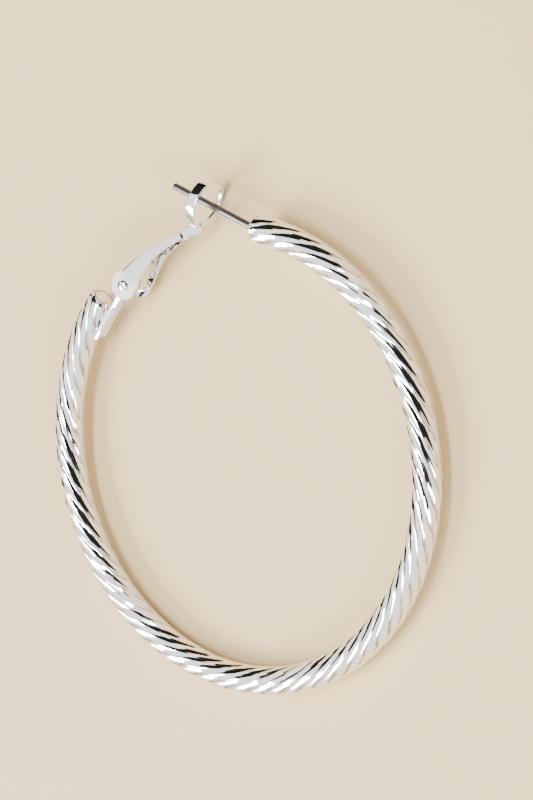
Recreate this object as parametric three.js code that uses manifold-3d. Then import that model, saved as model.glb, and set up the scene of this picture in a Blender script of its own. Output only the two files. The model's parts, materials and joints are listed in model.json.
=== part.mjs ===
// A hoop earring lying on its side: a hollow, twist-fluted tube bent into an open ring. One end carries a
// straight ear post. The other carries a bracket on which a channel-shaped lever turns, and the ring at the
// lever's far end closes over the post. Lengths are in millimetres and angles in degrees.
// The flat frame has the hoop's centre at its origin, the hoop in its XY plane, the gap's middle on +Y and the
// lever opening counter-clockwise. The finished group tilts that frame a little, to the pose in which it rests.
import * as THREE from 'three';
import { mergeVertices } from 'three/addons/utils/BufferGeometryUtils.js';
import Module from 'manifold-3d';

const wasm = await Module();
wasm.setup();

// Hoop tube
const hoopDiameter = 50;
const tubeDiameter = 3;
const tubeWall = 0.5;
const gapAngle = 56.5;
const fluteCount = 16;
const fluteDepth = 0.05;
const twistPitch = 39;
const endBevel = 0.35;

// Ear post and the plugs that close the tube's ends
const postDiameter = 0.72;
const postLength = 11.2;
const postTilt = 13.9;
const postTipRounding = 0.22;
const plugLength = 0.8;

// Lever, a channel whose web faces outward, and its pivot as seen from the hinge end of the tube
const pivotReach = 3.82;
const pivotInset = 2.01;
const leverWidth = 3;
const leverTipWidth = 1.7;
const leverWall = 0.38;
const leverBend = 0.46;
const leverEarRadius = 1.5;
const leverWebStart = 0.95;

// Lock ring, a tapering strip bent round into a loop, and the tongue of the lever that carries it
const ringWidth = 4.95;
const ringHeight = 5.2;
const ringDrop = 0.35;
const ringWall = 0.38;
const ringBand = 1.15;
const ringNarrowBand = 0.36;
const ringPlace = 6.8;
const ringRise = 0.113;
const ringSetback = 2.064;
const tongueWidth = 1.3;
const tongueEndWidth = 0.5;
const tongueThickness = 0.8;

// Angles round the lock ring from its root: those at which its strip starts and ends, those between which it
// narrows, and the one up to which it hangs low
const ringMouth = [8, 362];
const ringNarrowing = [140, 300];
const ringDropEnd = 90;

// Hinge bracket, a channel along the tube's inner side that reaches past its end
const bracketWall = 0.3;
const bracketHeight = 0.55;
const bracketTail = 4;
const bracketTailWidth = 1.3;
const bracketEarRadius = 0.95;
const neckWidth = 0.9;

// Rivet and spring leaf
const rivetDiameter = 0.7;
const rivetHeadDiameter = 1.15;
const rivetHeadHeight = 0.3;
const springThickness = 0.2;

// Clearances
const pressFit = 0.05;
const seatGap = 0.05;
const runningFit = 0.04;
const sideGap = 0.06;
const springSideRoom = 0.2;

// Fineness of the faceted surfaces
const tubeStations = 96;
const boreSides = 12;
const roundSides = 20;
const ringSides = 36;
const leverStations = 14;
const springStations = 16;
const bendSteps = 3;

// Sizes and places that follow
const hoopRadius = (hoopDiameter - tubeDiameter) / 2;
const tubeRadius = tubeDiameter / 2;
const boreRadius = tubeRadius - tubeWall;
const plugRadius = boreRadius - pressFit;
const tubeLength = radians(360 - gapAngle) * hoopRadius;
const hingeEndAngle = 90 + gapAngle / 2;
const postEndAngle = 90 - gapAngle / 2;
const bracketWidth = leverWidth - 2 * leverWall - 2 * sideGap;
const springWidth = bracketWidth - 2 * bracketWall - 2 * springSideRoom;

const hingeEnd = onHoop(hoopRadius, hingeEndAngle);
const postEnd = onHoop(hoopRadius, postEndAngle);
const postDirection = postEndAngle + 90 - postTilt;
const pivot = turnedBy(new THREE.Vector2(pivotReach, -pivotInset), hingeEndAngle - 90).add(hingeEnd);
const ringCentre = heading(postDirection).multiplyScalar(ringPlace).add(postEnd);
const rootDepth = ringHeight / 2 - ringWall / 2 + ringDrop;
const ringRoot = heading(postDirection + 90).multiplyScalar(rootDepth).add(ringCentre);
const rootOffset = ringRoot.clone().sub(pivot);
const rootReach = Math.sqrt(rootOffset.lengthSq() - ringRise ** 2);
const leverLength = rootReach - ringSetback;
const leverDirection = THREE.MathUtils.radToDeg(rootOffset.angle() - Math.asin(ringRise / rootOffset.length()));

function radians(degrees) {
  return THREE.MathUtils.degToRad(degrees);
}

function heading(degrees) {
  return new THREE.Vector2(Math.cos(radians(degrees)), Math.sin(radians(degrees)));
}

function onHoop(radius, degrees) {
  return heading(degrees).multiplyScalar(radius);
}

function turnedBy(point, degrees) {
  return point.clone().rotateAround(new THREE.Vector2(), radians(degrees));
}

// A closed solid from any closed three.js geometry
function solidOf(geometry) {
  geometry.deleteAttribute('normal');
  geometry.deleteAttribute('uv');
  const merged = mergeVertices(geometry, 1e-5);
  return new wasm.Manifold(new wasm.Mesh({
    numProp: 3,
    vertProperties: Float32Array.from(merged.attributes.position.array),
    triVerts: Uint32Array.from(merged.index.array),
  }));
}

function geometryOf(solid) {
  const mesh = solid.getMesh();
  const geometry = new THREE.BufferGeometry();
  geometry.setAttribute('position', new THREE.BufferAttribute(mesh.vertProperties, 3));
  geometry.setIndex(new THREE.BufferAttribute(mesh.triVerts, 1));
  geometry.computeVertexNormals();
  return geometry;
}

// A solid through a row of outlines with equally many points, each put in space by place(point, row)
function loft(outlines, place) {
  const count = outlines[0].length;
  const positions = outlines.flatMap((outline, row) => outline.flatMap((point) => place(point, row).toArray()));
  const faces = [];
  for (let row = 0; row + 1 < outlines.length; row++) {
    for (let i = 0; i < count; i++) {
      const here = row * count + i;
      const beside = row * count + (i + 1) % count;
      faces.push(here, beside, beside + count, here, beside + count, here + count);
    }
  }
  const last = (outlines.length - 1) * count;
  for (const [a, b, c] of THREE.ShapeUtils.triangulateShape(outlines[0], [])) faces.push(c, b, a);
  for (const [a, b, c] of THREE.ShapeUtils.triangulateShape(outlines.at(-1), [])) {
    faces.push(last + a, last + b, last + c);
  }
  const geometry = new THREE.BufferGeometry();
  geometry.setAttribute('position', new THREE.Float32BufferAttribute(positions, 3));
  geometry.setIndex(faces);
  return solidOf(geometry);
}

// A flat outline made as thick as width, centred on the plane z = middle
function plate(shape, width, middle = 0) {
  const geometry = new THREE.ExtrudeGeometry(shape, { depth: width, bevelEnabled: false, curveSegments: 10 });
  return solidOf(geometry.translate(0, 0, middle - width / 2));
}

function block(minimum, maximum) {
  const size = new THREE.Vector3().subVectors(maximum, minimum);
  const middle = new THREE.Vector3().addVectors(minimum, maximum).multiplyScalar(0.5);
  return solidOf(new THREE.BoxGeometry(...size).translate(...middle));
}

// A solid of revolution about Z from a profile of [radius, height] pairs that rises outside the axis
function turned(profile, sides) {
  const points = profile.map(([radius, height]) => new THREE.Vector2(radius, height));
  return solidOf(new THREE.LatheGeometry(points, sides).rotateX(Math.PI / 2));
}

function pinAlongZ(diameter, length) {
  const radius = diameter / 2;
  return turned([[0, -length / 2], [radius, -length / 2], [radius, length / 2], [0, length / 2]], roundSides);
}

// Outline of the tube at one station: ridges and the low middle of each flute, turned by the twist
function flutedOutline(turn, reach) {
  const points = [];
  for (let i = 0; i < 2 * fluteCount; i++) {
    const radius = Math.min(tubeRadius - (i % 2) * fluteDepth, reach);
    const angle = Math.PI * i / fluteCount + turn;
    points.push(new THREE.Vector2(radius * Math.cos(angle), radius * Math.sin(angle)));
  }
  return points;
}

function circleOutline(radius, sides) {
  return Array.from({ length: sides }, (_, i) => {
    const angle = 2 * Math.PI * (i + 0.5) / sides;
    return new THREE.Vector2(radius * Math.cos(angle), radius * Math.sin(angle));
  });
}

// A point of a section, its x outward and its y upward, at a distance along the hoop from the post's end
function alongHoop(point, distance) {
  const degrees = postEndAngle - THREE.MathUtils.radToDeg(distance / hoopRadius);
  const flat = onHoop(hoopRadius + point.x, degrees);
  return new THREE.Vector3(flat.x, flat.y, point.y);
}

function hoopTube() {
  const even = tubeStations - 2;
  const between = Array.from({ length: even + 1 }, (_, i) => endBevel + (tubeLength - 2 * endBevel) * i / even);
  const stations = [0, ...between, tubeLength];
  const outlines = stations.map((distance) => {
    const fromEnd = Math.min(distance, tubeLength - distance);
    return flutedOutline(-2 * Math.PI * distance / twistPitch, tubeRadius - endBevel + fromEnd);
  });
  const skin = loft(outlines, (point, row) => alongHoop(point, stations[row]));

  const boreOutline = circleOutline(boreRadius / Math.cos(Math.PI / boreSides), boreSides);
  const boreSteps = tubeStations / 2;
  const boreStations = Array.from({ length: boreSteps + 1 }, (_, i) => {
    return (tubeLength + 2 * tubeRadius) * i / boreSteps - tubeRadius;
  });
  const bore = loft(boreStations.map(() => boreOutline), (point, row) => alongHoop(point, boreStations[row]));

  const slotHalf = neckWidth / 2 + pressFit;
  const slot = block(
    new THREE.Vector3(-plugLength - pressFit, -tubeDiameter, -slotHalf),
    new THREE.Vector3(tubeRadius, 0, slotHalf),
  );
  return skin.subtract(bore).subtract(fromHingeEnd(slot));
}

// From the hinge end's own frame, +X out of the tube and +Y away from the hoop's centre, to the flat frame
function fromHingeEnd(solid) {
  return solid.rotate([0, 0, hingeEndAngle - 90]).translate([hingeEnd.x, hingeEnd.y, 0]);
}

function endPlug() {
  const profile = [[0, -plugLength], [plugRadius, -plugLength], [plugRadius, 0], [0, 0]];
  return turned(profile, roundSides).rotate([0, 90, 0]);
}

// In the post end's own frame, +X out of the tube and +Y toward the hoop's centre
function earPost() {
  const radius = postDiameter / 2;
  const profile = [
    [0, -plugLength / 2],
    [radius, -plugLength / 2],
    [radius, postLength - postTipRounding],
    [radius - postTipRounding * 0.3, postLength - postTipRounding * 0.3],
    [radius - postTipRounding, postLength],
    [0, postLength],
  ];
  const post = turned(profile, roundSides).rotate([0, 90, 0]).rotate([0, 0, -postTilt]);
  return endPlug().add(post);
}

// Side of the bracket in the hinge end's frame: a strip along the tube's inner side that ends in a round ear
function bracketOutline() {
  const outer = hoopRadius - tubeRadius - seatGap;
  const inner = outer - bracketHeight;
  const tail = Math.PI / 2 + bracketTail / outer;
  const tailCut = bracketHeight * 0.6 / outer;
  const middle = (outer + inner) / 2;
  const earSide = Math.PI / 2 - (pivotReach - bracketEarRadius) / inner;
  const [earFrom, earTo] = [125, -165];
  const rise = Math.PI / 2 - pivotReach * 0.35 / outer;
  const shape = new THREE.Shape();
  shape.absarc(0, -hoopRadius, inner, earSide, tail - tailCut, false);
  shape.lineTo(middle * Math.cos(tail), middle * Math.sin(tail) - hoopRadius);
  shape.absarc(0, -hoopRadius, outer, tail - tailCut / 2, rise, true);
  shape.absarc(pivotReach, -pivotInset, bracketEarRadius, radians(earFrom), radians(earTo), true);
  shape.closePath();
  return shape;
}

// The bracket's width seen along Y, narrow under the tube and wide at the ears, drawn in by the margin
function bracketPlan(margin) {
  const ear = bracketWidth / 2 - margin;
  const tail = bracketTailWidth / 2 - margin;
  const widening = pivotReach - bracketEarRadius;
  const shape = new THREE.Shape();
  shape.moveTo(-2 * bracketTail, -tail);
  shape.lineTo(widening * 0.25, -tail);
  shape.lineTo(widening, -ear);
  shape.lineTo(2 * pivotReach, -ear);
  shape.lineTo(2 * pivotReach, ear);
  shape.lineTo(widening, ear);
  shape.lineTo(widening * 0.25, tail);
  shape.lineTo(-2 * bracketTail, tail);
  shape.closePath();
  return plate(shape, 8 * tubeDiameter).rotate([90, 0, 0]);
}

function hingeBracket() {
  const outline = bracketOutline();
  const hollow = plate(outline, bracketWidth).translate([0, -bracketWall, 0]).intersect(bracketPlan(bracketWall));
  const innerWidth = bracketWidth - 2 * bracketWall;
  const earRoom = block(
    new THREE.Vector3(pivotReach - bracketEarRadius * 1.35, -pivotInset - tubeDiameter, -innerWidth / 2),
    new THREE.Vector3(pivotReach + tubeDiameter, tubeRadius, innerWidth / 2),
  );
  const neck = block(
    new THREE.Vector3(-plugLength, -tubeRadius - seatGap - bracketWall / 2, -neckWidth / 2),
    new THREE.Vector3(0, -plugRadius / 2, neckWidth / 2),
  );
  const bore = pinAlongZ(rivetDiameter + 2 * runningFit, bracketWidth * 2).translate([pivotReach, -pivotInset, 0]);
  const channel = plate(outline, bracketWidth).intersect(bracketPlan(0)).subtract(hollow);
  return channel.subtract(earRoom).subtract(bore).add(neck).add(endPlug());
}

// The rivet's domed heads stand on the lever's two flanges
function hingeRivet() {
  const seat = leverWidth / 2 + sideGap / 2;
  const headRadius = rivetHeadDiameter / 2;
  const upper = [
    [rivetDiameter / 2, seat],
    [headRadius, seat],
    [headRadius, seat + rivetHeadHeight * 0.3],
    [headRadius * 0.8, seat + rivetHeadHeight * 0.72],
    [headRadius * 0.42, seat + rivetHeadHeight * 0.94],
    [0, seat + rivetHeadHeight],
  ];
  const lower = upper.map(([radius, height]) => [radius, -height]).reverse();
  return turned([...lower, ...upper], roundSides);
}

// Side view of the lever from its pivot to its tip: how high its web and its flanges' free edge lie over the
// line from pivot to tip, as shares of the ear's radius
const leverForm = [
  { along: 0.0, web: 1.0, edge: -1.0 },
  { along: 0.1, web: 1.035, edge: -0.8 },
  { along: 0.2, web: 1.065, edge: -0.5 },
  { along: 0.3, web: 1.07, edge: -0.2 },
  { along: 0.4, web: 1.065, edge: 0.03 },
  { along: 0.5, web: 1.04, edge: 0.155 },
  { along: 0.6, web: 0.99, edge: 0.205 },
  { along: 0.7, web: 0.895, edge: 0.225 },
  { along: 0.8, web: 0.8, edge: 0.22 },
  { along: 0.9, web: 0.7, edge: 0.135 },
  { along: 1.0, web: 0.575, edge: 0.055 },
];

// Height of one column of the lever's form at a distance from the pivot
function leverHeight(column, distance) {
  const points = leverForm.map((row) => new THREE.Vector2(row.along * leverLength, row[column] * leverEarRadius));
  return new THREE.SplineCurve(points).getPoint(distance / leverLength).y;
}

function leverHalfWidth(distance) {
  const taper = THREE.MathUtils.smoothstep(distance / leverLength, 0.3, 1);
  return THREE.MathUtils.lerp(leverWidth, leverTipWidth, taper) / 2;
}

// Section of the lever's channel, x across and y outward: two flanges, two round bends and the web
function channelOutline(half, web, edge) {
  const points = [];
  const corner = (side, radius, from, to) => {
    for (let i = 0; i <= bendSteps; i++) {
      const angle = radians(THREE.MathUtils.lerp(from, to, i / bendSteps));
      const across = side * (half - leverBend) + radius * Math.cos(angle);
      points.push(new THREE.Vector2(across, web - leverBend + radius * Math.sin(angle)));
    }
  };
  points.push(new THREE.Vector2(half, edge));
  corner(1, leverBend, 0, 90);
  corner(-1, leverBend, 90, 180);
  points.push(new THREE.Vector2(-half, edge), new THREE.Vector2(-half + leverWall, edge));
  corner(-1, leverBend - leverWall, 180, 90);
  corner(1, leverBend - leverWall, 90, 0);
  points.push(new THREE.Vector2(half - leverWall, edge));
  return points;
}

// One of the two round ears, run on into the flange that it ends
function leverEar(side) {
  const overlap = leverWebStart + leverBend;
  const shape = new THREE.Shape();
  shape.absarc(0, 0, leverEarRadius, radians(110), radians(310), false);
  shape.lineTo(overlap, leverHeight('edge', overlap));
  shape.lineTo(overlap, leverHeight('web', overlap) - leverBend);
  shape.lineTo(leverWebStart, leverHeight('web', leverWebStart) - leverBend / 2);
  shape.closePath();
  return plate(shape, leverWall, side * (leverWidth - leverWall) / 2);
}

// The oval loop that closes over the post, in the lever's frame: its strip leaves the tongue on the upper side
// at full width, a little low, and comes back to it narrow from below
function lockRing() {
  const outer = ringWidth / 2;
  const inner = outer - ringWall;
  const heights = [];
  const outlines = [];
  const angles = [];
  for (let i = 0; i <= ringSides; i++) {
    const angle = THREE.MathUtils.lerp(...ringMouth, i / ringSides);
    const narrowed = THREE.MathUtils.smoothstep(angle, ...ringNarrowing);
    const half = THREE.MathUtils.lerp(ringBand, ringNarrowBand, narrowed) / 2;
    const drop = ringDrop * (1 - THREE.MathUtils.smoothstep(angle, 0, ringDropEnd));
    const round = half / 3;
    const section = [[inner, -half], [outer, round - half], [outer, half - round], [inner, half]];
    outlines.push(section.map(([radius, along]) => new THREE.Vector2(radius, along)));
    angles.push(radians(angle));
    heights.push((ringHeight + 2 * drop) / ringWidth);
  }
  const loop = loft(outlines, ({ x, y }, row) => {
    return new THREE.Vector3(-y, x * heights[row] * Math.cos(angles[row]), x * Math.sin(angles[row]));
  });
  const centre = turnedBy(ringCentre.clone().sub(pivot), -leverDirection);
  return loop.rotate([0, 0, postDirection - leverDirection]).translate([centre.x, centre.y, 0]);
}

// The tongue's end at the ring's root: places along the band as shares of half its width, and depths as shares
// of the tongue's thickness. In between, the tongue is deepest at its waist.
const tongueFoot = [
  { rim: 0.45, depth: 1.25 },
  { rim: 0.45, depth: -0.3 },
  { rim: -0.9, depth: -0.3 },
];
const tongueWaist = { along: 0.35, depth: 1.3 };

// The solid tongue between the channel's end and the foot of the ring. Its end face is parallel to the ring, and
// it narrows toward that face.
function leverTongue() {
  const start = leverLength - 2 * leverWall;
  const top = leverHeight('web', leverLength);
  const waist = THREE.MathUtils.lerp(leverLength, rootReach, tongueWaist.along);
  const rimward = heading(postDirection - leverDirection + 180).multiplyScalar(ringBand / 2);
  const downward = heading(postDirection - leverDirection + 90).multiplyScalar(tongueThickness);
  const foot = tongueFoot.map(({ rim, depth }) => {
    return new THREE.Vector2(rootReach, ringRise).addScaledVector(rimward, rim).addScaledVector(downward, depth);
  });
  const side = plate(new THREE.Shape([
    new THREE.Vector2(start, leverHeight('web', start) - leverWall / 2),
    new THREE.Vector2(start, leverHeight('web', start) - tongueThickness),
    new THREE.Vector2(leverLength, top - tongueThickness),
    new THREE.Vector2(waist, top - tongueThickness * tongueWaist.depth),
    ...foot,
    new THREE.Vector2(waist, top),
  ]), tongueWidth);
  const end = rootReach + rimward.x * tongueFoot[0].rim + tongueEndWidth;
  const plan = plate(new THREE.Shape([
    new THREE.Vector2(start, -tongueWidth / 2),
    new THREE.Vector2(waist, -tongueWidth / 2),
    new THREE.Vector2(end, -tongueEndWidth / 2),
    new THREE.Vector2(end, tongueEndWidth / 2),
    new THREE.Vector2(waist, tongueWidth / 2),
    new THREE.Vector2(start, tongueWidth / 2),
  ]), 4 * leverEarRadius).rotate([90, 0, 0]);
  return side.intersect(plan);
}

// In the lever's own frame: the pivot at the origin, +X toward the ring and +Y outward
function claspLever() {
  const outlines = [];
  const distances = [];
  for (let i = 0; i <= leverStations; i++) {
    const distance = THREE.MathUtils.lerp(leverWebStart, leverLength, i / leverStations);
    const half = leverHalfWidth(distance);
    outlines.push(channelOutline(half, leverHeight('web', distance), leverHeight('edge', distance)));
    distances.push(distance);
  }
  const channel = loft(outlines, (point, row) => new THREE.Vector3(distances[row], point.y, -point.x));
  const bore = pinAlongZ(rivetDiameter + 2 * runningFit, leverWidth * 2);
  const ears = leverEar(1).add(leverEar(-1)).subtract(bore);
  return channel.add(ears).add(leverTongue()).add(lockRing());
}

// Course of the spring leaf round the rivet's inner side, as shares of the lever's ear radius, and the two places
// along the lever between which it lies against the web
const springSeat = [3.0, 2.3];
const springForm = [
  { along: 1.65, height: 0.22 },
  { along: 1.1, height: -0.3 },
  { along: 0.6, height: -0.66 },
  { along: 0.08, height: -0.6 },
  { along: -0.2, height: -0.38 },
];

function springLeaf() {
  const seat = springSeat.map((along) => {
    const distance = along * leverEarRadius;
    const underside = leverHeight('web', distance) - leverWall;
    return new THREE.Vector2(distance, underside - 2 * seatGap - springThickness / 2);
  });
  const round = springForm.map((row) => new THREE.Vector2(row.along, row.height).multiplyScalar(leverEarRadius));
  const course = new THREE.SplineCurve([...seat, ...round]);
  const x = springThickness / 2;
  const y = springWidth / 2;
  const section = [[-x, -y], [x, -y], [x, y], [-x, y]].map(([across, up]) => new THREE.Vector2(across, up));
  const outlines = Array.from({ length: springStations + 1 }, () => section);
  return loft(outlines, (point, row) => {
    const at = course.getPoint(row / springStations);
    const along = course.getTangent(row / springStations);
    return new THREE.Vector3(at.x - along.y * point.x, at.y + along.x * point.x, point.y);
  });
}

function metal(color, roughness) {
  return new THREE.MeshStandardMaterial({ color, roughness, metalness: 1 });
}

function piece(name, solid, material) {
  const mesh = new THREE.Mesh(geometryOf(solid), material);
  mesh.name = name;
  return mesh;
}

// How far the lock ring, which hangs lower than the tube, lifts the gap's side of the hoop off the ground
function restTilt() {
  const reach = ringCentre.length() + hoopRadius;
  return Math.atan2(ringWidth / 2 - tubeRadius, reach);
}

const silver = 0xdadbdd;
const hingeEndGroup = new THREE.Group();
hingeEndGroup.position.set(hingeEnd.x, hingeEnd.y, 0);
hingeEndGroup.rotation.z = radians(hingeEndAngle - 90);
hingeEndGroup.add(piece('hinge_bracket', hingeBracket(), metal(silver, 0.16)));

const postEndGroup = new THREE.Group();
postEndGroup.position.set(postEnd.x, postEnd.y, 0);
postEndGroup.rotation.z = radians(postEndAngle + 90);
postEndGroup.add(piece('ear_post', earPost(), metal(0x6a6c6e, 0.35)));

const pivotGroup = new THREE.Group();
pivotGroup.position.set(pivot.x, pivot.y, 0);
pivotGroup.add(piece('hinge_rivet', hingeRivet(), metal(silver, 0.2)));

const leverGroup = new THREE.Group();
leverGroup.rotation.z = radians(leverDirection);
leverGroup.add(piece('clasp_lever', claspLever(), metal(silver, 0.14)));
leverGroup.add(piece('spring_leaf', springLeaf(), metal(0xcfcfcf, 0.25)));
pivotGroup.add(leverGroup);

const flat = new THREE.Group();
flat.add(piece('hoop_tube', hoopTube(), metal(silver, 0.12)), hingeEndGroup, postEndGroup, pivotGroup);

const tiltAxis = new THREE.Vector3(ringCentre.y, -ringCentre.x, 0).normalize();
flat.setRotationFromAxisAngle(tiltAxis, restTilt());
const earring = new THREE.Group();
earring.add(flat);
earring.updateMatrixWorld(true);

// The origin goes to the middle of the finished box, on the ground
const box = new THREE.Box3().setFromObject(earring, true);
const middle = box.getCenter(new THREE.Vector3());
flat.position.set(-middle.x, -middle.y, -box.min.z);
earring.updateMatrixWorld(true);

export default earring;
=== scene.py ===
# Hoop earring lying on its side: the twisted tube, its ear post and the hinged lever clasp.
# Every piece is modelled in millimetres in the hoop's flat frame and then laid down as the frame has it.
import json
import math
import random

import bmesh
import bpy
from mathutils import Matrix, Vector


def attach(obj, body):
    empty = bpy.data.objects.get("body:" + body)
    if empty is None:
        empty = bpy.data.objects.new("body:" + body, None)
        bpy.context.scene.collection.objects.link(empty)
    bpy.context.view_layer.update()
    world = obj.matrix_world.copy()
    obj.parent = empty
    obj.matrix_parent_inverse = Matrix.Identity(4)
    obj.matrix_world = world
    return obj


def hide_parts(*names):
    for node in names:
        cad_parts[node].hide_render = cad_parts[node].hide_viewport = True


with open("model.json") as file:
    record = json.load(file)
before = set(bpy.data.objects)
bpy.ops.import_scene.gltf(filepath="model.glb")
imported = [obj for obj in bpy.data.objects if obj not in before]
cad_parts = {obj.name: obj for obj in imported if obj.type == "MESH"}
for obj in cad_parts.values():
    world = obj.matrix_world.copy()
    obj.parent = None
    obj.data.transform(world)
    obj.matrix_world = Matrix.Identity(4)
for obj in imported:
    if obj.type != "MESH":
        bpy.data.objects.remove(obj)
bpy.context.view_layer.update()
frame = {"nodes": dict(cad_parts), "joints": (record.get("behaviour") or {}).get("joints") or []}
joint = frame["joints"][0]
print("frame loaded:", ", ".join(sorted(frame["nodes"])))

mmPerMetre = 1000
near = 1e-3  # millimetres within which two places count as one when points are picked

# Sizes in millimetres that several pieces share
clasp = {
    "gapDeg": 56.5,
    "hoopRadius": 23.5,
    "tubeRadius": 1.5,
    "pivotReach": 3.82,
    "pivotInset": 2.01,
    "postTiltDeg": 13.9,
    "ringPlace": 6.8,
    "ringHeight": 5.2,
    "ringDrop": 0.35,
    "ringWall": 0.38,
    "ringRise": 0.113,
    "ringSetback": 2.064,
    "rivetRadius": 0.35,
}


def heading(degrees):
    return Vector((math.cos(math.radians(degrees)), math.sin(math.radians(degrees)), 0))


def turn(degrees, axis="Z"):
    return Matrix.Rotation(math.radians(degrees), 4, axis)


hingeEndDeg = 90 + clasp["gapDeg"] / 2
postEndDeg = 90 - clasp["gapDeg"] / 2
postHeadingDeg = postEndDeg + 90 - clasp["postTiltDeg"]
hingeEndPlace = Matrix.Translation(heading(hingeEndDeg) * clasp["hoopRadius"]) @ turn(hingeEndDeg - 90)
postEndPlace = Matrix.Translation(heading(postEndDeg) * clasp["hoopRadius"]) @ turn(postEndDeg + 90)
pivot = hingeEndPlace @ Vector((clasp["pivotReach"], -clasp["pivotInset"], 0))
ringCentre = heading(postEndDeg) * clasp["hoopRadius"] + heading(postHeadingDeg) * clasp["ringPlace"]
rootDepth = clasp["ringHeight"] / 2 - clasp["ringWall"] / 2 + clasp["ringDrop"]
rootOffset = ringCentre + heading(postHeadingDeg + 90) * rootDepth - pivot
rootReach = math.sqrt(rootOffset.length_squared - clasp["ringRise"] ** 2)
leverLength = rootReach - clasp["ringSetback"]
leverTurn = math.atan2(rootOffset.y, rootOffset.x) - math.asin(clasp["ringRise"] / rootOffset.length)
leverDeg = math.degrees(leverTurn)
leverPlace = Matrix.Translation(pivot) @ turn(leverDeg)

# From the flat frame to the loaded one: tilted to the hinge's axis, its pivot on the hinge, in metres
hingeTilt = Vector((0, 0, 1)).rotation_difference(Vector(joint["axis"])).to_matrix().to_4x4()
layDown = hingeTilt @ Matrix.Scale(1 / mmPerMetre, 4)
layDown = Matrix.Translation(Vector(joint["pos_m"]) - layDown @ pivot) @ layDown


def startPiece(name, addPrimitive, **settings):
    bpy.ops.object.select_all(action="DESELECT")
    addPrimitive(**settings)
    piece = bpy.context.object
    piece.name = piece.data.name = name
    bpy.ops.object.transform_apply(location=True, rotation=True, scale=True)
    return piece


def pick(piece, test, kind="verts"):
    # selects what passes the test in edit mode, by the place of its middle
    mesh = bmesh.from_edit_mesh(piece.data)
    bpy.ops.mesh.select_all(action="DESELECT")
    for element in getattr(mesh, kind):
        corners = [element] if kind == "verts" else element.verts
        middle = sum((corner.co for corner in corners), Vector()) / len(corners)
        if test(middle):
            element.select_set(True)
    mesh.select_flush_mode()
    bmesh.update_edit_mesh(piece.data)


def extrude(x=0, y=0, z=0):
    bpy.ops.mesh.extrude_region_move(TRANSFORM_OT_translate={"value": (x, y, z)})


def resize(x=1, y=1, z=1, centre=(0, 0, 0)):
    bpy.ops.transform.resize(value=(x, y, z), center_override=centre)


def addModifier(piece, kind, **settings):
    modifier = piece.modifiers.new(kind.title(), kind)
    for key, value in settings.items():
        setattr(modifier, key, value)
    bpy.context.view_layer.objects.active = piece
    bpy.ops.object.modifier_apply(modifier=modifier.name)


def roundEdges(piece, width, segments, overDeg):
    # bevels the edges that turn by more than overDeg
    limit = math.radians(overDeg)
    addModifier(piece, "BEVEL", width=width, segments=segments, limit_method="ANGLE", angle_limit=limit)


def union(piece, others):
    for other in others:
        addModifier(piece, "BOOLEAN", operation="UNION", solver="MANIFOLD", object=other)
        bpy.data.objects.remove(other)


def cut(piece, tool):
    addModifier(piece, "BOOLEAN", operation="DIFFERENCE", solver="MANIFOLD", object=tool)
    bpy.data.objects.remove(tool)


def tidyMesh(piece, mergeBy=1e-4):
    bpy.ops.object.select_all(action="DESELECT")
    piece.select_set(True)
    bpy.context.view_layer.objects.active = piece
    bpy.ops.object.mode_set(mode="EDIT")
    bpy.ops.mesh.select_all(action="SELECT")
    bpy.ops.mesh.remove_doubles(threshold=mergeBy)
    bpy.ops.mesh.normals_make_consistent(inside=False)
    # a thin channel can come out of that inside out
    if bmesh.from_edit_mesh(piece.data).calc_volume(signed=True) < 0:
        bpy.ops.mesh.flip_normals()
    bpy.ops.object.mode_set(mode="OBJECT")


def finishPiece(piece, place, material, body, node, smoothDeg=35):
    piece.data.transform(layDown @ place)
    bpy.ops.object.select_all(action="DESELECT")
    piece.select_set(True)
    bpy.context.view_layer.objects.active = piece
    bpy.ops.object.shade_smooth_by_angle(angle=math.radians(smoothDeg))
    piece.data.materials.clear()
    piece.data.materials.append(material)
    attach(piece, body)
    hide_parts(node)
    print(piece.name, "made,", len(piece.data.polygons), "faces")


# Materials. Blotch, waves and streak are noise scales per metre, relief is the waves' height in metres
silverLook = {
    "color": (0.93, 0.93, 0.94),
    "roughness": (0.045, 0.11),
    "blotch": 260,
    "waves": 900,
    "relief": 0.00001,
}
postLook = {
    "color": (0.17, 0.17, 0.18),
    "roughness": (0.2, 0.36),
    "streak": 5200,
    "stretch": 0.02,
    "relief": 0.000006,
}
springLook = {
    "color": (0.78, 0.78, 0.78),
    "roughness": (0.12, 0.24),
    "blotch": 500,
    "waves": 1600,
    "relief": 0.000008,
}
# What the three metals share: the darkest tint's share of the color, and how the noise is read
metalNoise = {"darkest": 0.95, "low": 0.3, "high": 0.7, "blotchDetail": 4, "waveDetail": 2, "bump": 0.35}


def addNode(tree, kind, **inputs):
    node = tree.nodes.new(kind)
    for key, value in inputs.items():
        node.inputs[key.replace("_", " ")].default_value = value
    return node


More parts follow.
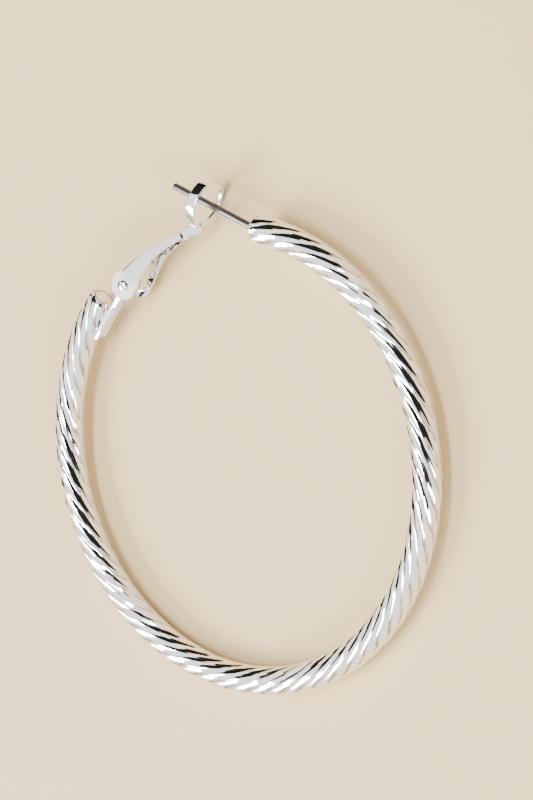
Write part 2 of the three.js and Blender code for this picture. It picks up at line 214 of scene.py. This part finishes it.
def polishedMetal(name, look):
    # bright metal whose polish varies softly, with a very slight waviness
    material = bpy.data.materials.new(name)
    material.use_nodes = True
    tree = material.node_tree
    shader = tree.nodes["Principled BSDF"]
    shader.inputs["Metallic"].default_value = 1
    where = tree.nodes.new("ShaderNodeTexCoord")
    blotches = addNode(tree, "ShaderNodeTexNoise", Scale=look["blotch"], Detail=metalNoise["blotchDetail"])
    polish = addNode(tree, "ShaderNodeMapRange", From_Min=metalNoise["low"], From_Max=metalNoise["high"])
    polish.inputs["To Min"].default_value, polish.inputs["To Max"].default_value = look["roughness"]
    tint = tree.nodes.new("ShaderNodeMapRange")
    tint.data_type = "FLOAT_VECTOR"
    # its vector sockets share their names with the plain ones, but not their identifiers
    tintSockets = {socket.identifier: socket for socket in tint.inputs}
    tintSockets["To_Min_FLOAT3"].default_value = [part * metalNoise["darkest"] for part in look["color"]]
    tintSockets["To_Max_FLOAT3"].default_value = look["color"]
    waves = addNode(tree, "ShaderNodeTexNoise", Scale=look["waves"], Detail=metalNoise["waveDetail"])
    bump = addNode(tree, "ShaderNodeBump", Strength=metalNoise["bump"], Distance=look["relief"])
    link = tree.links.new
    link(where.outputs["Object"], blotches.inputs["Vector"])
    link(where.outputs["Object"], waves.inputs["Vector"])
    link(blotches.outputs["Fac"], polish.inputs["Value"])
    link(polish.outputs["Result"], shader.inputs["Roughness"])
    link(blotches.outputs["Fac"], tintSockets["Vector"])
    link(tint.outputs["Vector"], shader.inputs["Base Color"])
    link(waves.outputs["Fac"], bump.inputs["Height"])
    link(bump.outputs["Normal"], shader.inputs["Normal"])
    return material


def drawnWire(name, look, place):
    # darker wire with fine streaks along its length, from the noise stretched along the post
    material = polishedMetal(name, {**look, "blotch": look["streak"], "waves": look["streak"]})
    tree = material.node_tree
    where = tree.nodes["Texture Coordinate"]
    along = addNode(tree, "ShaderNodeMapping")
    along.inputs["Rotation"].default_value = place.inverted().to_euler()
    stretch = addNode(tree, "ShaderNodeMapping", Scale=(look["stretch"], 1, 1))
    tree.links.new(where.outputs["Object"], along.inputs["Vector"])
    tree.links.new(along.outputs["Vector"], stretch.inputs["Vector"])
    for noise in [node for node in tree.nodes if node.type == "TEX_NOISE"]:
        tree.links.new(stretch.outputs["Vector"], noise.inputs["Vector"])
    return material


silver = polishedMetal("polishedSilver", silverLook)
springSteel = polishedMetal("springSteel", springLook)
postPlace = postEndPlace @ turn(-clasp["postTiltDeg"])
wire = drawnWire("drawnWire", postLook, (layDown @ postPlace).to_3x3().normalized().to_4x4())

# The twisted tube: a scalloped ring of points, screwed into a straight bar, rippled, twisted and bent round
tube = {
    "flutes": 16,
    "sidesPerFlute": 10,
    "fluteDepth": 0.06,
    "pitch": 39,
    "stations": 440,
    "bevel": 0.35,
    "bevelSwell": 1.04,
    "endRadius": 1.15,
    "mouthRadius": 1.06,
    "mouthDepth": 1.2,
    "teeth": 1.1,
    "toothSides": 2,
    "scratch": 0.005,
    "scratchSeed": 4,
    "ripple": 0.058,
    "rippleWidth": 0.45,
    "rippleLength": 1.4,
}


def rippleTube(piece):
    # the flutes aren't quite even: a shallow noise, stretched along them
    size = bpy.data.objects.new("rippleSize", None)
    size.scale = (tube["rippleWidth"], tube["rippleWidth"], tube["rippleLength"])
    bpy.context.scene.collection.objects.link(size)
    bpy.context.view_layer.update()
    noise = bpy.data.textures.new("ripple", "CLOUDS")
    noise.noise_scale = 1
    noise.noise_depth = 1
    addModifier(piece, "DISPLACE", texture=noise, texture_coords="OBJECT", texture_coords_object=size,
                strength=tube["ripple"], mid_level=0.5)
    bpy.data.objects.remove(size)
    bpy.data.textures.remove(noise)


def makeTube():
    radius = clasp["tubeRadius"]
    sweepDeg = 360 - clasp["gapDeg"]
    length = math.radians(sweepDeg) * clasp["hoopRadius"]
    straight = length - 2 * tube["bevel"]
    halfTurn = math.pi * straight / tube["pitch"]
    sides = tube["flutes"] * tube["sidesPerFlute"]
    piece = startPiece("twistedTube", bpy.ops.mesh.primitive_circle_add, vertices=sides, radius=radius)
    bpy.ops.object.mode_set(mode="EDIT")
    step = 360 / sides

    def placeInFlute(middle):
        return round(math.degrees(math.atan2(middle.y, middle.x)) / step) % tube["sidesPerFlute"]

    def onRidge(middle):
        index = placeInFlute(middle)
        return min(index, tube["sidesPerFlute"] - index) < tube["toothSides"]

    # each flute is hollowed as a parabola from ridge to ridge
    for k in range(1, tube["sidesPerFlute"]):
        share = k / tube["sidesPerFlute"]
        hollow = 1 - 4 * share * (1 - share) * tube["fluteDepth"] / radius
        pick(piece, lambda middle: placeInFlute(middle) == k)
        resize(hollow, hollow)
    bpy.ops.object.mode_set(mode="OBJECT")
    # the cutter's fine lines run the whole length of the flutes
    cutter = random.Random(tube["scratchSeed"])
    for vertex in piece.data.vertices:
        vertex.co *= 1 - cutter.uniform(0, tube["scratch"]) / radius
    addModifier(piece, "SCREW", axis="Z", angle=0, screw_offset=straight, iterations=1,
                steps=tube["stations"], render_steps=tube["stations"], use_merge_vertices=False)
    piece.data.transform(Matrix.Translation((0, 0, -straight / 2)))
    rippleTube(piece)
    bpy.ops.object.mode_set(mode="EDIT")
    for side in (-1, 1):
        end = straight / 2
        pick(piece, lambda middle: side * middle.z > end - near)
        extrude(z=side * tube["bevel"] / 2)
        size = (radius + tube["endRadius"]) / 2 / radius * tube["bevelSwell"]
        resize(size, size)
        extrude(z=side * tube["bevel"] / 2)
        size = tube["endRadius"] / radius / size
        resize(size, size)
        # the ridges run on over the bevel and give the rim its small teeth
        pick(piece, lambda middle: side * middle.z > end + tube["bevel"] - near and onRidge(middle))
        resize(tube["teeth"], tube["teeth"])
        pick(piece, lambda middle: side * middle.z > end + tube["bevel"] - near)
        size = tube["mouthRadius"] / tube["endRadius"]
        extrude()
        resize(size, size)
        extrude(z=-side * tube["mouthDepth"])
        bpy.ops.mesh.edge_face_add()
    bpy.ops.object.mode_set(mode="OBJECT")
    for vertex in piece.data.vertices:
        vertex.co.rotate(Matrix.Rotation(-halfTurn * (1 + 2 * vertex.co.z / straight), 3, "Z"))
    # the bar turns from Z to X, along which it is bent
    piece.data.transform(turn(90, "Y"))
    bpy.context.view_layer.objects.active = piece
    addModifier(piece, "SIMPLE_DEFORM", deform_method="BEND", deform_axis="Z", angle=math.radians(sweepDeg))
    piece.data.transform(Matrix.Translation((0, -clasp["hoopRadius"], 0)))
    tidyMesh(piece, mergeBy=1e-5)
    finishPiece(piece, Matrix(), silver, "hoop", "hoop_tube", smoothDeg=30)


makeTube()

# The ear post stands on the plug that closes the tube's right end
post = {
    "radius": 0.36,
    "length": 11.2,
    "sides": 48,
    "tipRounding": 0.22,
    "tipSteps": 5,
    "plugRadius": 0.95,
    "plugLength": 0.8,
    "plugSides": 64,
    "plugEdge": 0.06,
    "plugEdgeSteps": 3,
    "crown": 0.2,
    "crownSteps": 5,
}


def addPlug(name):
    radius, length = post["plugRadius"], post["plugLength"]
    plug = startPiece(name, bpy.ops.mesh.primitive_cylinder_add, vertices=post["plugSides"], radius=radius,
                      depth=length, location=(-length / 2, 0, 0), rotation=(0, math.pi / 2, 0))
    bpy.ops.object.mode_set(mode="EDIT")
    pick(plug, lambda middle: middle.x > -near)
    bpy.ops.mesh.bevel(offset=post["plugEdge"], segments=post["plugEdgeSteps"])
    # its face is slightly crowned
    pick(plug, lambda middle: middle.x > -near)
    here = radius - post["plugEdge"]
    for i in range(1, post["crownSteps"] + 1):
        there = (radius - post["plugEdge"]) * (1 - i / (post["crownSteps"] + 1))
        extrude(x=post["crown"] * (here ** 2 - there ** 2) / radius ** 2)
        resize(y=there / here, z=there / here)
        here = there
    bpy.ops.object.mode_set(mode="OBJECT")
    return plug


def makePost():
    start = -post["plugLength"] / 2
    whole = post["length"] - start
    rod = startPiece("rod", bpy.ops.mesh.primitive_cylinder_add, vertices=post["sides"],
                     radius=post["radius"], depth=whole, location=(start + whole / 2, 0, 0),
                     rotation=(0, math.pi / 2, 0))
    bpy.ops.object.mode_set(mode="EDIT")
    pick(rod, lambda middle: middle.x > post["length"] - near)
    bpy.ops.mesh.bevel(offset=post["tipRounding"], segments=post["tipSteps"])
    bpy.ops.object.mode_set(mode="OBJECT")
    rod.data.transform(turn(-clasp["postTiltDeg"]))
    piece = addPlug("earPost")
    union(piece, [rod])
    tidyMesh(piece)
    finishPiece(piece, postEndPlace, wire, "hoop", "ear_post")


makePost()

# The rivet: a shank with a domed head at each end, raised ring by ring
rivet = {"seat": 1.53, "headRadius": 0.575, "headHeight": 0.3, "rimShare": 0.3, "sides": 48, "domeSteps": 7}


def makeRivet():
    piece = startPiece("hingeRivet", bpy.ops.mesh.primitive_cylinder_add, vertices=rivet["sides"],
                       radius=clasp["rivetRadius"], depth=2 * rivet["seat"])
    bpy.ops.object.mode_set(mode="EDIT")
    for side in (-1, 1):
        pick(piece, lambda middle: side * middle.z > rivet["seat"] - near)
        extrude()
        grow = rivet["headRadius"] / clasp["rivetRadius"]
        resize(grow, grow)
        radius, height = rivet["headRadius"], 0
        rim = rivet["headHeight"] * rivet["rimShare"]
        extrude(z=side * rim)
        for i in range(1, rivet["domeSteps"]):
            angle = math.pi / 2 * i / rivet["domeSteps"]
            nextRadius = rivet["headRadius"] * math.cos(angle)
            nextHeight = (rivet["headHeight"] - rim) * math.sin(angle)
            extrude(z=side * (nextHeight - height))
            shrink = nextRadius / radius
            resize(shrink, shrink)
            radius, height = nextRadius, nextHeight
    bpy.ops.object.mode_set(mode="OBJECT")
    tidyMesh(piece)
    place = Matrix.Translation(pivot)
    finishPiece(piece, place, silver, "hoop", "hinge_rivet", smoothDeg=50)


makeRivet()

# The lever: side plates with round ears, a web between them, a tongue and the ring that closes over the post
lever = {
    "earRadius": 1.5,
    "earSides": 96,
    "earFront": 0.12,
    "boreSides": 48,
    "runningFit": 0.04,
    "width": 3.0,
    "tipWidth": 1.7,
    "taperFrom": 0.3,
    "wall": 0.38,
    "bend": 0.46,
    "bendSteps": 8,
    "webStart": 0.95,
    "stations": 26,
    "inset": 0.006,
    "ringWidth": 4.95,
    "ringBand": 1.15,
    "narrowBand": 0.36,
    "ringSides": 120,
    "ringOpening": 2,
    "ringMouth": (8, 362),
    "ringNarrowing": (140, 300),
    "ringDropEnd": 90,
    "ringEdge": 0.1,
    "tongue": 0.8,
    "tongueWidth": 1.3,
    "tongueEdge": 0.16,
    "waistShare": 0.35,
    "waistDepth": 1.3,
}

# Side view of the lever at even steps along it: the heights of the web and of the flanges' free edge, as
# shares of the ear's radius
leverForm = [
    {"web": 1.0, "edge": -1.0},
    {"web": 1.035, "edge": -0.8},
    {"web": 1.065, "edge": -0.5},
    {"web": 1.07, "edge": -0.2},
    {"web": 1.065, "edge": 0.03},
    {"web": 1.04, "edge": 0.155},
    {"web": 0.99, "edge": 0.205},
    {"web": 0.895, "edge": 0.225},
    {"web": 0.8, "edge": 0.22},
    {"web": 0.7, "edge": 0.135},
    {"web": 0.575, "edge": 0.055},
]

# The tongue's two last sections, at the ring's foot: how far toward the ring's rim their upper and lower ends
# lie, as shares of half its band, how far they rise and drop, as shares of the tongue's depth, and their width
tongueFoot = [
    {"upper": -0.9, "lower": 0.0, "rise": 0.3, "drop": 1.0, "width": 0.75},
    {"upper": 0.45, "lower": 0.45, "rise": 0.3, "drop": 1.25, "width": 0.45},
]


def leverHeight(column, distance):
    # smooth curve through the form's rows
    place = min(max(distance / leverLength, 0), 1) * (len(leverForm) - 1)
    i = min(int(place), len(leverForm) - 2)
    t = place - i
    a, b, c, d = [leverForm[min(max(i + k, 0), len(leverForm) - 1)][column] for k in (-1, 0, 1, 2)]
    square, cube = 2 * a - 5 * b + 4 * c - d, 3 * b - a - 3 * c + d
    value = 0.5 * (2 * b + (c - a) * t + square * t ** 2 + cube * t ** 3)
    return value * lever["earRadius"]


def smoothShare(value, low, high):
    t = min(max((value - low) / (high - low), 0), 1)
    return t * t * (3 - 2 * t)


def leverHalfWidth(distance):
    share = smoothShare(distance / leverLength, lever["taperFrom"], 1)
    return (lever["width"] + (lever["tipWidth"] - lever["width"]) * share) / 2


def leverSection(distance):
    return distance, leverHalfWidth(distance), leverHeight("web", distance), leverHeight("edge", distance)


def makeChannel():
    # a round-cornered band across the lever, extruded along it station by station and then given its wall
    first, half, top, low = leverSection(lever["webStart"])
    centre = (first, (top + low) / 2, 0)
    channel = startPiece("channel", bpy.ops.mesh.primitive_plane_add, size=1, location=centre,
                         rotation=(0, math.pi / 2, 0))
    bpy.ops.object.mode_set(mode="EDIT")
    bpy.ops.mesh.select_all(action="SELECT")
    resize(y=top - low, z=2 * half, centre=centre)
    bpy.ops.mesh.delete(type="ONLY_FACE")
    pick(channel, lambda middle: middle.y < centre[1] - near, "edges")
    bpy.ops.mesh.delete(type="EDGE")
    pick(channel, lambda middle: middle.y > top - near)
    bpy.ops.mesh.bevel(offset=lever["bend"], segments=lever["bendSteps"], affect="VERTICES")
    bpy.ops.mesh.select_all(action="SELECT")
    distance = first
    for i in range(1, lever["stations"] + 1):
        there = first + (leverLength - first) * i / lever["stations"]
        nextDistance, nextHalf, nextTop, nextLow = leverSection(there)
        extrude(nextDistance - distance, nextTop - top)
        resize(1, (nextTop - nextLow) / (top - low), nextHalf / half, centre=(nextDistance, nextTop, 0))
        distance, half, top, low = nextDistance, nextHalf, nextTop, nextLow
    bpy.ops.mesh.select_all(action="SELECT")
    bpy.ops.mesh.normals_make_consistent(inside=False)
    bpy.ops.object.mode_set(mode="OBJECT")
    webFace = channel.data.polygons[len(channel.data.polygons) // 2]
    outward = 1 if webFace.normal.y > 0 else -1
    addModifier(channel, "SOLIDIFY", thickness=lever["wall"], offset=-outward, use_even_offset=True)
    tidyMesh(channel)
    return channel


def makeEar(side):
    # a round ear whose front runs on into the flange, cut from one thick disc
    radius, wall = lever["earRadius"], lever["wall"] - 2 * lever["inset"]
    level = side * (lever["width"] - lever["wall"]) / 2
    ear = startPiece("ear", bpy.ops.mesh.primitive_cylinder_add, vertices=lever["earSides"], radius=radius,
                     depth=wall, location=(0, 0, level))
    overlap = lever["webStart"] + lever["bend"]
    top = leverHeight("web", overlap) - lever["bend"]
    low = leverHeight("edge", overlap)
    bpy.ops.object.mode_set(mode="EDIT")
    pick(ear, lambda middle: middle.x > lever["earFront"])
    resize(x=0, centre=(overlap, 0, 0))
    bpy.ops.object.mode_set(mode="OBJECT")
    for vertex in ear.data.vertices:
        if abs(vertex.co.x - overlap) < near:
            share = (vertex.co.y + radius) / (2 * radius)
            vertex.co.y = low + (top - low) * share
    tidyMesh(ear)
    return ear


def makeRing():
    outer, wall = lever["ringWidth"] / 2, clasp["ringWall"]
    ring = startPiece("ring", bpy.ops.mesh.primitive_circle_add, vertices=lever["ringSides"],
                      radius=outer - wall / 2)
    bpy.ops.object.mode_set(mode="EDIT")
    bpy.ops.mesh.select_all(action="SELECT")
    extrude(z=1)

    def inOpening(middle):
        return abs(math.degrees(math.atan2(middle.y, middle.x))) < lever["ringOpening"]

    # the loop opens where it meets the tongue
    pick(ring, inOpening, "faces")
    bpy.ops.mesh.delete(type="FACE")
    bpy.ops.object.mode_set(mode="OBJECT")
    start, end = lever["ringMouth"]
    for vertex in ring.data.vertices:
        angle = math.degrees(math.atan2(vertex.co.y, vertex.co.x)) % 360
        angle = angle * (end - start) / 360 + start
        narrow = smoothShare(angle, *lever["ringNarrowing"])
        band = lever["ringBand"] + (lever["narrowBand"] - lever["ringBand"]) * narrow
        drop = clasp["ringDrop"] * (1 - smoothShare(angle, 0, lever["ringDropEnd"]))
        height = clasp["ringHeight"] / 2 + drop
        reach = (outer - wall / 2) / outer
        vertex.co = (
            (0.5 - vertex.co.z) * band,
            reach * height * math.cos(math.radians(angle)),
            reach * outer * math.sin(math.radians(angle)),
        )
    addModifier(ring, "SOLIDIFY", thickness=wall, offset=0)
    tidyMesh(ring)
    roundEdges(ring, lever["ringEdge"], segments=4, overDeg=50)
    centre = turn(-leverDeg) @ (ringCentre - pivot)
    ring.data.transform(Matrix.Translation(centre) @ turn(postHeadingDeg - leverDeg))
    return ring


def makeTongue():
    # a solid block drawn out from the channel's end to the foot of the ring
    depth = lever["tongue"]
    start = leverLength - 2 * lever["wall"]
    startTop = leverHeight("web", start)
    top = leverHeight("web", leverLength) - lever["inset"]
    waist = leverLength + (rootReach - leverLength) * lever["waistShare"]
    rimward = heading(postHeadingDeg - leverDeg + 180) * lever["ringBand"] / 2
    downward = heading(postHeadingDeg - leverDeg + 90) * depth
    root = Vector((rootReach, clasp["ringRise"], 0))
    # upper point, lower point and share of the width
    sections = [
        (Vector((start, startTop - lever["wall"] / 2, 0)), Vector((start, startTop - depth, 0)), 1.0),
        (Vector((leverLength, top, 0)), Vector((leverLength, top - depth, 0)), 1.0),
        (Vector((waist, top, 0)), Vector((waist, top - depth * lever["waistDepth"], 0)), 1.0),
    ]
    for row in tongueFoot:
        upper = root + rimward * row["upper"] - downward * row["rise"]
        lower = root + rimward * row["lower"] + downward * row["drop"]
        sections.append((upper, lower, row["width"]))
    tongue = startPiece("tongue", bpy.ops.mesh.primitive_cube_add, size=1)
    bpy.ops.object.mode_set(mode="EDIT")
    for i in range(len(sections) - 2):
        pick(tongue, lambda middle: middle.x > 0.5 + i - near, "faces")
        extrude(x=1)
    bpy.ops.object.mode_set(mode="OBJECT")
    for vertex in tongue.data.vertices:
        upper, lower, width = sections[round(vertex.co.x + 0.5)]
        spot = upper if vertex.co.y > 0 else lower
        vertex.co = (spot.x, spot.y, math.copysign(width * lever["tongueWidth"] / 2, vertex.co.z))
    roundEdges(tongue, lever["tongueEdge"], segments=4, overDeg=40)
    tidyMesh(tongue)
    return tongue


def makeLever():
    piece = makeChannel()
    piece.name = piece.data.name = "claspLever"
    union(piece, [makeEar(-1), makeEar(1)])
    bore = startPiece("bore", bpy.ops.mesh.primitive_cylinder_add, vertices=lever["boreSides"],
                      radius=clasp["rivetRadius"] + lever["runningFit"], depth=3 * lever["width"])
    cut(piece, bore)
    union(piece, [makeTongue(), makeRing()])
    tidyMesh(piece)
    finishPiece(piece, leverPlace, silver, "lever", "clasp_lever", smoothDeg=32)


makeLever()

# The spring leaf: a thin strip led from under the web round the rivet. Its seat, along the web's underside,
# and the points of its free course are shares of the ear's radius
spring = {
    "thickness": 0.2,
    "width": 1.12,
    "seatGap": 0.1,
    "edge": 0.03,
    "smoothing": 3,
    "seat": (3.0, 2.3),
    "course": [(1.65, 0.22), (1.1, -0.3), (0.6, -0.66), (0.08, -0.6), (-0.2, -0.38)],
}


def makeSpring():
    course = []
    for share in spring["seat"]:
        distance = share * lever["earRadius"]
        underside = leverHeight("web", distance) - lever["wall"]
        course.append(Vector((distance, underside - spring["seatGap"] - spring["thickness"] / 2, 0)))
    course += [Vector((x, y, 0)) * lever["earRadius"] for x, y in spring["course"]]
    planeSize = 1
    piece = startPiece("springLeaf", bpy.ops.mesh.primitive_plane_add, size=planeSize, location=course[0],
                       rotation=(0, math.pi / 2, 0))
    bpy.ops.object.mode_set(mode="EDIT")
    bpy.ops.mesh.select_all(action="SELECT")
    resize(z=spring["width"], centre=course[0])
    # only the plane's upper edge stays, moved down to the course's first point
    bpy.ops.mesh.delete(type="ONLY_FACE")
    pick(piece, lambda middle: middle.y < course[0].y)
    bpy.ops.mesh.delete(type="VERT")
    bpy.ops.mesh.select_all(action="SELECT")
    bpy.ops.transform.translate(value=(0, -planeSize / 2, 0))
    for here, there in zip(course, course[1:]):
        extrude(*(there - here))
    bpy.ops.object.mode_set(mode="OBJECT")
    addModifier(piece, "SUBSURF", levels=spring["smoothing"], render_levels=spring["smoothing"])
    addModifier(piece, "SOLIDIFY", thickness=spring["thickness"], offset=0)
    tidyMesh(piece)
    roundEdges(piece, spring["edge"], segments=2, overDeg=50)
    finishPiece(piece, leverPlace, springSteel, "lever", "spring_leaf")


makeSpring()

# The hinge bracket: the frame's own channel, cleaned up and with its edges broken
bracket = {"edge": 0.035, "flatDeg": 2.0}


def makeBracket():
    bpy.ops.object.select_all(action="DESELECT")
    piece = bpy.data.objects.new("hingeBracket", frame["nodes"]["hinge_bracket"].data.copy())
    bpy.context.scene.collection.objects.link(piece)
    piece.data.name = "hingeBracket"
    piece.data.transform((layDown @ hingeEndPlace).inverted())
    tidyMesh(piece, mergeBy=1e-3)
    bpy.ops.object.mode_set(mode="EDIT")
    bpy.ops.mesh.select_all(action="SELECT")
    bpy.ops.mesh.dissolve_limited(angle_limit=math.radians(bracket["flatDeg"]))
    bpy.ops.mesh.vert_connect_concave()
    bpy.ops.object.mode_set(mode="OBJECT")
    roundEdges(piece, bracket["edge"], segments=3, overDeg=40)
    tidyMesh(piece)
    finishPiece(piece, hingeEndPlace, silver, "hoop", "hinge_bracket", smoothDeg=40)


makeBracket()

# Floor, light and camera. The room round the studio is pale but for some unlit parts, given by the direction
# of their middle and by how far they reach from it, which the polished metal shows as its dark flashes
studio = {
    "floorColor": (0.80, 0.60, 0.32),
    "floorShade": 0.94,
    "floorHalf": 1.2,
    "floorRoughness": 0.75,
    "mottleScale": 30,
    "mottleDetail": 5,
    "wallColor": (0.42, 0.30, 0.17),
    "wallHeight": 0.1,
    "ceilingColor": (0.95, 0.95, 0.96),
    "ceilingHeight": 0.42,
    "roomStrength": 2.1,
    "unlitShare": 0.012,
    "unlitEdgeDeg": 1.5,
}
unlitParts = [
    {"toward": (0.62, -0.05, 0.78), "reachDeg": 32},
    {"toward": (0.0, 0.93, 0.34), "reachDeg": 32},
    {"toward": (-0.84, 0.50, 0.16), "reachDeg": 24},
]
softboxes = [
    {"name": "keyLight", "place": (-0.62, -0.12, 0.5), "size": (0.42, 0.3), "power": 10,
     "color": (1, 0.99, 0.97)},
    {"name": "topLight", "place": (0.02, 0.1, 0.8), "size": (0.1, 0.5), "power": 5,
     "color": (1, 1, 1)},
    {"name": "frontLight", "place": (0.5, -0.5, 0.4), "size": (0.3, 0.2), "power": 4,
     "color": (1, 0.98, 0.95)},
]
cameraSetup = {
    "placeMm": (252.85, -35.17, 301.19),
    "turnDeg": (-9.206, 39.022, -23.098),
    "lensMm": 173.41,
    "sensorMm": 36,
    "clip": (0.01, 10),
}


def makeFloor():
    floor = startPiece("floor", bpy.ops.mesh.primitive_plane_add, size=2 * studio["floorHalf"])
    material = bpy.data.materials.new("paleFloor")
    material.use_nodes = True
    tree = material.node_tree
    shader = tree.nodes["Principled BSDF"]
    shader.inputs["Roughness"].default_value = studio["floorRoughness"]
    where = tree.nodes.new("ShaderNodeTexCoord")
    mottle = addNode(tree, "ShaderNodeTexNoise", Scale=studio["mottleScale"], Detail=studio["mottleDetail"])
    ramp = tree.nodes.new("ShaderNodeValToRGB")
    ramp.color_ramp.elements[0].color = [part * studio["floorShade"] for part in studio["floorColor"]] + [1]
    ramp.color_ramp.elements[1].color = (*studio["floorColor"], 1)
    tree.links.new(where.outputs["Object"], mottle.inputs["Vector"])
    tree.links.new(mottle.outputs["Fac"], ramp.inputs["Fac"])
    tree.links.new(ramp.outputs["Color"], shader.inputs["Base Color"])
    floor.data.materials.append(material)


def makeLights():
    for box in softboxes:
        data = bpy.data.lights.new(box["name"], "AREA")
        data.shape = "RECTANGLE"
        data.size, data.size_y = box["size"]
        data.energy = box["power"]
        data.color = box["color"]
        light = bpy.data.objects.new(box["name"], data)
        light.location = box["place"]
        light.rotation_euler = (-Vector(box["place"])).to_track_quat("-Z", "Y").to_euler()
        bpy.context.scene.collection.objects.link(light)


def makeRoom():
    world = bpy.data.worlds.new("room")
    world.use_nodes = True
    tree = world.node_tree
    background = tree.nodes["Background"]
    where = tree.nodes.new("ShaderNodeTexCoord")
    height = tree.nodes.new("ShaderNodeSeparateXYZ")
    tint = tree.nodes.new("ShaderNodeValToRGB")
    tint.color_ramp.elements[0].color = (*studio["wallColor"], 1)
    tint.color_ramp.elements[1].color = (*studio["ceilingColor"], 1)
    tint.color_ramp.elements[0].position = studio["wallHeight"]
    tint.color_ramp.elements[1].position = studio["ceilingHeight"]
    tree.links.new(where.outputs["Generated"], height.inputs["Vector"])
    tree.links.new(height.outputs["Z"], tint.inputs["Fac"])
    tree.links.new(tint.outputs["Color"], background.inputs["Color"])
    # each unlit part multiplies the brightness that the ones before it left
    brightness = None
    for part in unlitParts:
        facing = tree.nodes.new("ShaderNodeVectorMath")
        facing.operation = "DOT_PRODUCT"
        facing.inputs[1].default_value = Vector(part["toward"]).normalized()
        outerDeg = part["reachDeg"] + studio["unlitEdgeDeg"]
        innerDeg = part["reachDeg"] - studio["unlitEdgeDeg"]
        edge = tree.nodes.new("ShaderNodeMapRange")
        edge.inputs["From Min"].default_value = math.cos(math.radians(outerDeg))
        edge.inputs["From Max"].default_value = math.cos(math.radians(innerDeg))
        edge.inputs["To Min"].default_value = 1
        edge.inputs["To Max"].default_value = studio["unlitShare"]
        tree.links.new(where.outputs["Generated"], facing.inputs[0])
        tree.links.new(facing.outputs["Value"], edge.inputs["Value"])
        product = tree.nodes.new("ShaderNodeMath")
        product.operation = "MULTIPLY"
        product.inputs[0].default_value = studio["roomStrength"]
        if brightness:
            tree.links.new(brightness, product.inputs[0])
        tree.links.new(edge.outputs["Result"], product.inputs[1])
        brightness = product.outputs["Value"]
    tree.links.new(brightness, background.inputs["Strength"])
    bpy.context.scene.world = world


def makeCamera():
    data = bpy.data.cameras.new("camera")
    data.lens = cameraSetup["lensMm"]
    data.sensor_width = cameraSetup["sensorMm"]
    data.clip_start, data.clip_end = cameraSetup["clip"]
    camera = bpy.data.objects.new("camera", data)
    camera.location = Vector(cameraSetup["placeMm"]) / mmPerMetre
    camera.rotation_euler = [math.radians(angle) for angle in cameraSetup["turnDeg"]]
    bpy.context.scene.collection.objects.link(camera)
    bpy.context.scene.camera = camera


makeFloor()
makeLights()
makeRoom()
makeCamera()
print("studio ready")
